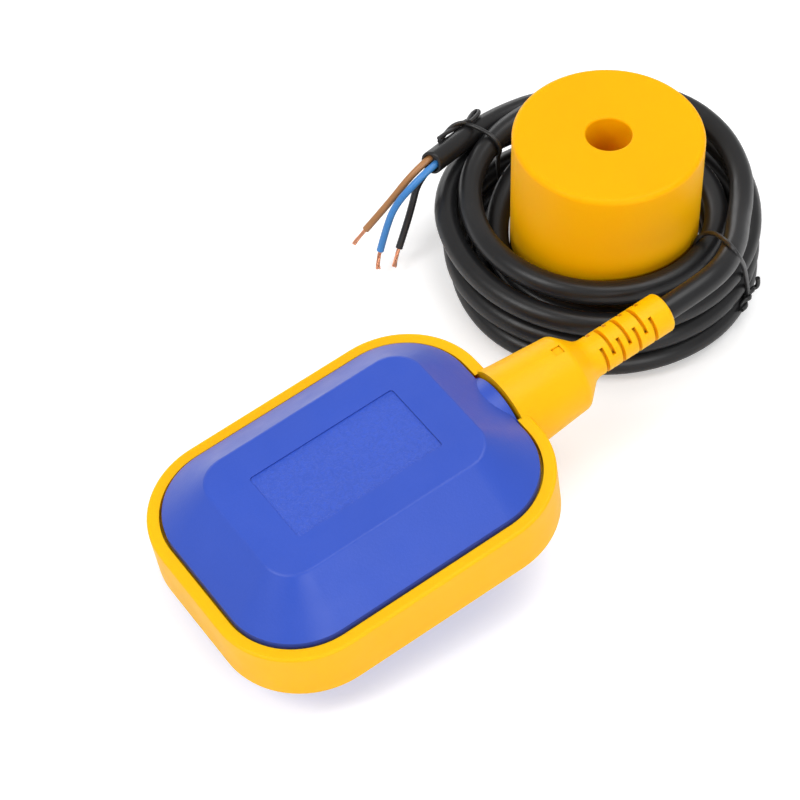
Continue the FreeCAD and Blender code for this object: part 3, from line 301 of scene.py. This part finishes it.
def metal(name, colour, roughness, grain=900.0, depth=0.00001):
    shader = moulded(name, colour, roughness, grain, depth, variation=0.12, broad=60.0,
                     Metallic=1.0)
    return shader.material


def shade_creases(shader, dark):
    """Darkens narrow grooves and slots, where little light gets in."""
    socket = shader.surface.inputs["Base Color"]
    base = socket.links[0].from_socket
    crease = shader.add("ShaderNodeAmbientOcclusion", samples=8)
    crease.inputs["Distance"].default_value = CREASE_REACH
    open_share = shader.spread(crease.outputs["AO"], 0, 1, start=0.25, end=0.62)
    shader.link(shader.mix(open_share, dark, base), socket)


def yellow_plastic(name, colour, specular):
    shader = moulded(name, colour, roughness=(0.36, 0.46), grain=1800.0, depth=0.000012,
                     variation=0.05, broad=18.0, Subsurface_Weight=0.3,
                     Subsurface_Radius=(0.004, 0.0016, 0.0002), Subsurface_Scale=1.0,
                     Specular_IOR_Level=specular)
    shade_creases(shader, dark=(0.16, 0.05, 0.0, 1))
    return shader.material


def blue_shell():
    """Fine matt grain on the dome, and a coarser stipple on the recessed panel whose raised points
    carry a painted highlight.
    """
    shader = moulded("blue_plastic", BLUE, roughness=(0.36, 0.46), grain=1300.0, depth=0.00004,
                     variation=0.07, broad=22.0, Specular_IOR_Level=0.5, Sheen_Weight=0.15,
                     Sheen_Roughness=0.4)
    # the panel lies level in the float's own tilted frame
    turn = shader.add("ShaderNodeMapping", vector_type="TEXTURE")
    turn.inputs["Location"].default_value = place((0, 0, FLOAT_MIDDLE))
    turn.inputs["Rotation"].default_value = (0, -TILT, 0)
    shader.link(shader.coords, turn.inputs["Vector"])
    split = shader.add("ShaderNodeSeparateXYZ")
    shader.link(turn.outputs["Vector"], split.inputs["Vector"])
    along = shader.math("ABSOLUTE", shader.math("SUBTRACT", split.outputs["X"], PANEL_MIDDLE))
    across = shader.math("ABSOLUTE", split.outputs["Y"])
    inside = shader.math("MULTIPLY", shader.spread(along, 1, 0, *PANEL_END),
                         shader.spread(across, 1, 0, *PANEL_SIDE))
    inside = shader.math("MULTIPLY", inside,
                         shader.spread(split.outputs["Z"], 0, 1, *PANEL_LEVEL))
    stipple = shader.noise(STIPPLE_SCALE, detail=3.0, rough=0.7)
    stipple = shader.spread(stipple, 0, 1, start=0.4, end=0.62)
    raised = shader.math("MULTIPLY", stipple, inside)
    fine = shader.surface.inputs["Normal"].links[0].from_socket
    shader.link(shader.bump(raised, STIPPLE_HEIGHT, fine), shader.surface.inputs["Normal"])
    base = shader.surface.inputs["Base Color"].links[0].from_socket
    # the raised stipple points are painted a lighter blue, a painted highlight where light catches
    # them
    painted_highlight = shader.mix(shader.math("MULTIPLY", raised, STIPPLE_PAINTED_HIGHLIGHT), base, tint(BLUE, 1.5))
    shader.link(painted_highlight, shader.surface.inputs["Base Color"])
    shade_creases(shader, dark=(0.004, 0.008, 0.05, 1))
    return shader.material


def insulation(colour, tone, variation):
    return moulded(colour + "_insulation", tone, roughness=(0.28, 0.4), grain=2400.0,
                   depth=0.00001, variation=variation, broad=90.0,
                   Specular_IOR_Level=0.55).material


yellow = yellow_plastic("yellow_plastic", (1.0, 0.5, 0.0, 1), specular=0.18)
weight_yellow = yellow_plastic("weight_plastic", (1.0, 0.452, 0.0, 1), specular=0.08)
blue = blue_shell()
jacket = moulded("jacket_rubber", (0.0135, 0.0135, 0.0145, 1), roughness=(0.28, 0.37),
                 grain=2200.0, depth=0.000012, variation=0.2, broad=45.0,
                 Specular_IOR_Level=0.36).material
cut_rubber = moulded("cut_rubber", (0.09, 0.09, 0.092, 1), roughness=(0.6, 0.75), grain=2600.0,
                     depth=0.00006, variation=0.25, broad=200.0).material
core_paint = {
    "brown": insulation("brown", (0.42, 0.19, 0.065, 1), variation=0.12),
    "blue": insulation("blue", (0.045, 0.235, 0.61, 1), variation=0.12),
    "black": insulation("black", (0.018, 0.018, 0.02, 1), variation=0.2),
}
copper = metal("bare_copper_wire", (0.85, 0.42, 0.26, 1), roughness=(0.2, 0.38))
tie_coat = moulded("tie_plastic", (0.02, 0.02, 0.021, 1), roughness=(0.3, 0.42), grain=1800.0,
                   depth=0.00003, variation=0.2, broad=120.0, Specular_IOR_Level=0.5).material
case_grey = moulded("case_plastic", (0.5, 0.51, 0.51, 1), roughness=(0.4, 0.52), grain=1800.0,
                    depth=0.00002, variation=0.06).material
switch_black = moulded("switch_plastic", (0.04, 0.04, 0.043, 1), roughness=(0.36, 0.5),
                       grain=2000.0, depth=0.00002, variation=0.15).material
steel_bright = metal("ball_steel", (0.66, 0.66, 0.68, 1), roughness=(0.08, 0.16), grain=600.0,
                     depth=0.000002)
zinc = metal("zinc_steel", (0.56, 0.57, 0.59, 1), roughness=(0.28, 0.42))
spring = metal("spring_bronze", (0.72, 0.52, 0.24, 1), roughness=(0.2, 0.34))
seal = moulded("seal_rubber", (0.045, 0.045, 0.05, 1), roughness=(0.55, 0.7), grain=1500.0,
               depth=0.00003, variation=0.2).material
mineral = moulded("mineral_fill", (0.32, 0.3, 0.27, 1), roughness=(0.8, 0.95), grain=700.0,
                  depth=0.0002, variation=0.3, broad=240.0).material

PAINT = {
    "float_frame": yellow, "weight_shell": weight_yellow, "weight_cap": weight_yellow,
    "upper_shell": blue, "lower_shell": blue,
    "switch_case": case_grey, "switch_case_lid": case_grey, "cable_clamp": case_grey,
    "plunger": case_grey, "case_screws": zinc, "clamp_screws": zinc, "actuator_lever": zinc,
    "lever_pin": zinc, "microswitch_pins": zinc, "steel_ball": steel_bright,
    "microswitch_case": switch_black, "microswitch_cover": switch_black,
    "snap_blade": spring, "terminal_closed": spring, "terminal_open": spring,
    "terminal_common": spring, "cable_root": jacket, "cable_seal": seal, "case_grommet": seal,
    "inner_wire_brown": core_paint["brown"], "inner_wire_blue": core_paint["blue"],
    "inner_wire_black": core_paint["black"], "weight_ballast": mineral,
}


def paint(obj, *materials):
    obj.data.materials.clear()
    for item in materials:
        obj.data.materials.append(item)


for name, item in PAINT.items():
    paint(nodes[name], item)


# ------------------------------------------------------------------ the cable

cable_route = [MOUTH - NECK * CABLE_INSET] + LEAD_ROUTE + turn_points() + TAIL_ROUTE
cable = nurbs_curve("cable", [cable_route], CABLE_D / 2, resolution=6, ring=7)
paint(cable, jacket)
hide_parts("cable_lead", "cable_coil", "cable_tail")
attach(cable, "body")


# ------------------------------------------------------------------ camera

AZIMUTH, ELEVATION, ROLL = -33.31, 49.24, -1.62     # degrees, fitted to the photo
CAMERA_SPOT = (-252.957, -409.607, 630.124)
LENS, SENSOR = 123.94, 36.0


def add_camera():
    azimuth, elevation, roll = (math.radians(angle) for angle in (AZIMUTH, ELEVATION, ROLL))
    back = Vector((math.sin(azimuth) * math.cos(elevation),
                   -math.cos(azimuth) * math.cos(elevation), math.sin(elevation)))
    right = Vector((math.cos(azimuth), math.sin(azimuth), 0))
    up = back.cross(right)
    across = right * math.cos(roll) + up * math.sin(roll)
    upward = up * math.cos(roll) - right * math.sin(roll)
    turn = Matrix((across, upward, back)).transposed().to_4x4()
    data = bpy.data.cameras.new("camera")
    data.lens, data.sensor_width = LENS, SENSOR
    data.clip_end = 20
    obj = bpy.data.objects.new("camera", data)
    obj.matrix_world = Matrix.Translation(place(CAMERA_SPOT)) @ turn
    bpy.context.scene.collection.objects.link(obj)
    bpy.context.scene.camera = obj


add_camera()


# ------------------------------------------------------------------ cable's bare end

TAIL_END = Vector(TAIL_ROUTE[-1])
TAIL_AXIS = (TAIL_END - Vector(TAIL_ROUTE[-2])).normalized()

# The jacket's cut end from outside over its rim to inside: reach past the tail's end, radius.
RIM = [(-0.6, 3.69), (0.3, 3.7), (1.15, 3.66), (1.32, 3.5), (1.34, 3.1), (1.26, 2.75),
       (1.0, 2.62), (-0.6, 2.6)]
RIM_SIDES = 48
RAGGED_STEPS = (3, 4, 5)        # the rim's steps that the knife left uneven
RAGGED = 0.05
CUT_STEPS = (3, 4)              # the faces after these steps show cut rubber

# The bare wires: how many lie on each ring round the middle one, the ring's radius and phase.
STRAND_RINGS = [(6, 0.25, 0.0), (11, 0.48, 0.5)]
STRAND_TURNS = 0.7
STRAND_RADIUS = 0.135
SHORTEST = 0.93                 # share of the bundle's length that the shortest wire reaches
WIDEST = 0.7                    # share by which the freest wire leaves its ring
OPEN_FROM, OPEN_SPAN = 0.55, 0.45   # where along a bundle its wires leave their rings
SIDEWAYS = Vector((0.3, 0.2, 1))    # lies along no bundle or tie, so that it gives their sides


def jacket_ring():
    """Cut end of the jacket, standing a little past the filler that holds the cores."""
    across = TAIL_AXIS.orthogonal().normalized()
    upward = TAIL_AXIS.cross(across)
    bm = bmesh.new()
    rings = []
    generator = random.Random(4)
    ragged = [generator.uniform(-RAGGED, RAGGED) for _ in range(RIM_SIDES)]
    for step, (reach, radius) in enumerate(RIM):
        ring = []
        for index in range(RIM_SIDES):
            angle = math.tau * index / RIM_SIDES
            lift = ragged[index] if step in RAGGED_STEPS else 0
            point = (TAIL_END + TAIL_AXIS * (reach + lift)
                     + (across * math.cos(angle) + upward * math.sin(angle)) * radius)
            ring.append(bm.verts.new(place(point)))
        rings.append(ring)
    for step, (ring, following) in enumerate(zip(rings, rings[1:])):
        for index in range(RIM_SIDES):
            after = (index + 1) % RIM_SIDES
            face = bm.faces.new((ring[index], ring[after], following[after], following[index]))
            face.material_index = 1 if step in CUT_STEPS else 0
    obj = mesh_object("jacket_end", bm)
    paint(obj, jacket, cut_rubber)
    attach(obj, "body")
    return obj


def wound(line, radius, phase, turns, reach=1.0, count=14, opening=0.0):
    """Route that winds round a share of a line, and opens out over its last stretch."""
    route = []
    for index in range(count):
        share = reach * index / (count - 1)
        spot = share * (len(line) - 1)
        first = min(int(spot), len(line) - 2)
        here = line[first].lerp(line[first + 1], spot - first)
        heading = (line[first + 1] - line[first]).normalized()
        across = heading.cross(SIDEWAYS).normalized()
        upward = heading.cross(across)
        angle = phase + share * turns * math.tau
        spread = radius * (1 + opening * max(0.0, share - OPEN_FROM) / OPEN_SPAN)
        route.append(here + (across * math.cos(angle) + upward * math.sin(angle)) * spread)
    return route


def strand_bundle(colour, route):
    """Fine bare wires twisted round the end of a core, with a few that spring free."""
    last, before = Vector(route[-1]), Vector(route[-2])
    tip = Vector(STRAND_ENDS[colour])
    knee = last + (last - before).normalized() * ((tip - last).length / 2)
    line = spline_line([last, knee, tip])
    generator = random.Random(colour)
    bundle = [(0.0, 0.0)]
    for count, radius, shift in STRAND_RINGS:
        bundle += [(radius, math.tau * (index + shift) / count) for index in range(count)]
    wires = [wound(line, radius, phase, STRAND_TURNS, reach=generator.uniform(SHORTEST, 1.0),
                   opening=generator.uniform(0.0, WIDEST)) for radius, phase in bundle]
    obj = nurbs_curve("strands_wire_" + colour, wires, STRAND_RADIUS, resolution=3, ring=2)
    paint(obj, copper)
    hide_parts("strands_" + colour)
    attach(obj, "body")
    return obj


jacket_end = jacket_ring()
for colour, route in CORE_ROUTES.items():
    start = Vector(route[0]) - TAIL_AXIS * CORE_INSET
    core = nurbs_curve("core_wire_" + colour, [[start] + route], CORE_D / 2, resolution=8,
                       ring=5)
    paint(core, core_paint[colour])
    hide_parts("core_" + colour)
    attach(core, "body")
    strands = strand_bundle(colour, route)


# ------------------------------------------------------------------ wire ties

# Each tie is a loop round the turns, a hooked or bowed end, and the twist of its two ends.
FRONT_LOOP = [
    (138.0, 23.6, 8.0), (138.0, 22.8, 20.0), (138.6, 22.4, 28.5), (139.7, 22.3, 32.2),
    (141.4, 21.4, 33.6), (141.8, 19.4, 35.4), (141.2, 16.0, 38.2), (140.0, 11.9, 40.6),
    (138.7, 6.7, 42.8), (138.9, 3.2, 41.2), (142.3, 4.6, 35.0), (146.0, 7.4, 28.0),
    (149.0, 9.2, 20.0), (152.0, 11.2, 12.0), (152.6, 11.9, 6.5), (151.4, 11.4, 3.0),
    (148.4, 15.6, 0.8), (142.0, 22.0, 0.8), (138.4, 24.0, 4.0)]
FRONT_TWIST = [(154.6, 12.6, 8.6), (153.1, 11.7, 8.0), (150.2, 10.0, 7.4), (147.7, 8.5, 6.8)]
FRONT_HOOK = [(153.1, 11.7, 7.6), (155.2, 12.7, 8.4), (156.8, 12.3, 8.6), (157.0, 12.0, 10.5),
              (156.7, 12.2, 12.7)]
REAR_LOOP = [
    (110.4, 103.6, 32.6), (111.0, 100.8, 34.4), (112.7, 97.6, 34.0), (113.8, 93.6, 34.2),
    (114.4, 90.6, 33.4), (115.0, 89.0, 30.4), (114.6, 90.6, 25.4), (115.2, 89.4, 14.0),
    (115.6, 88.6, 3.0), (114.6, 91.0, 0.8), (112.0, 97.0, 0.8), (110.0, 101.6, 5.0),
    (108.6, 103.8, 14.0), (108.6, 104.6, 24.0), (109.6, 104.6, 30.0)]
REAR_TWIST = [(111.6, 102.4, 34.0), (109.0, 103.6, 33.4), (103.9, 101.9, 34.4), (98.4, 98.9, 36.1)]
REAR_BOW = [(111.0, 101.6, 34.6), (114.2, 104.4, 33.4), (117.6, 106.4, 32.2), (118.3, 105.0, 32.7),
            (115.2, 102.7, 33.7), (111.6, 101.0, 34.8)]


def tie(name, node, routes, radius):
    obj = nurbs_curve(name, routes, radius, resolution=8, ring=4)
    paint(obj, tie_coat)
    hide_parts(node)
    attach(obj, "body")
    return obj


def twisted(route, turns, radius):
    """Two routes wound round each other along a third."""
    line = spline_line(route)
    count = int(10 * turns) + 4
    return [wound(line, radius, phase, turns, count=count) for phase in (0, math.pi)]


front_routes = [FRONT_LOOP, FRONT_HOOK] + twisted(FRONT_TWIST, turns=1.2, radius=0.7)
tie_front = tie("tie_wire_front", "tie_front", front_routes, radius=0.75)
rear_routes = [REAR_LOOP, REAR_BOW] + twisted(REAR_TWIST, turns=0.8, radius=0.5)
tie_rear = tie("tie_wire_rear", "tie_rear", rear_routes, radius=0.7)


# ------------------------------------------------------------------ stage and light

FLOOR_SIZE, FLOOR_HEIGHT = 6, -0.0002
FLOOR_GLOW = 0.3                # the camera alone sees it, so the floor comes out white
AMBIENT = 0.55                  # the white world, as the object is lit by it
LIGHT_AIM = Vector((0, 0, 0.02))
# name, place, size and radiance
SOFTBOXES = [
    ("light_top", (0.36, -0.05, 1.25), (0.85, 0.85), 2.8),
    ("light_left", (-0.85, 0.1, 1.0), (0.5, 0.6), 5.5),
    ("light_front", (-0.2, -1.25, 0.7), (0.8, 0.8), 2.8),
    ("light_back", (0.4, 1.3, 0.35), (1.0, 0.5), 2.0),
]


def add_floor():
    bpy.ops.mesh.primitive_plane_add(size=FLOOR_SIZE, location=(0, 0, FLOOR_HEIGHT))
    floor = bpy.context.object
    floor.name = "floor"
    shader = Shader("floor_paint")
    fine = shader.noise(40.0)
    shader.link(shader.mix(fine, (0.93, 0.93, 0.93, 1), (0.95, 0.95, 0.95, 1)),
                shader.surface.inputs["Base Color"])
    shader.set(Roughness=0.9, Specular_IOR_Level=0.1, Emission_Color=(1, 1, 1, 1))
    rays = shader.add("ShaderNodeLightPath")
    shader.link(shader.math("MULTIPLY", rays.outputs["Is Camera Ray"], FLOOR_GLOW),
                shader.surface.inputs["Emission Strength"])
    paint(floor, shader.material)


def add_world():
    """White to the camera and through clear pieces, and the ambient level to the rest."""
    world = bpy.data.worlds.new("studio")
    world.use_nodes = True
    tree = world.node_tree
    back = tree.nodes["Background"]
    back.inputs["Color"].default_value = (1, 1, 1, 1)
    rays = tree.nodes.new("ShaderNodeLightPath")
    seen = tree.nodes.new("ShaderNodeMath")
    seen.operation = "MAXIMUM"
    tree.links.new(rays.outputs["Is Camera Ray"], seen.inputs[0])
    tree.links.new(rays.outputs["Is Transmission Ray"], seen.inputs[1])
    strength = tree.nodes.new("ShaderNodeMapRange")
    strength.inputs["To Min"].default_value = AMBIENT
    strength.inputs["To Max"].default_value = 1.0
    tree.links.new(seen.outputs["Value"], strength.inputs["Value"])
    tree.links.new(strength.outputs["Result"], back.inputs["Strength"])
    bpy.context.scene.world = world


def softbox(name, spot, size, radiance):
    light = bpy.data.lights.new(name, "AREA")
    light.shape = "RECTANGLE"
    light.size, light.size_y = size
    light.energy = radiance * math.pi * size[0] * size[1]
    obj = bpy.data.objects.new(name, light)
    obj.location = spot
    obj.rotation_euler = (LIGHT_AIM - Vector(spot)).to_track_quat("-Z", "Y").to_euler()
    bpy.context.scene.collection.objects.link(obj)


add_floor()
add_world()
for box in SOFTBOXES:
    softbox(*box)
bpy.context.scene.view_settings.view_transform = "Standard"

bpy.context.view_layer.update()
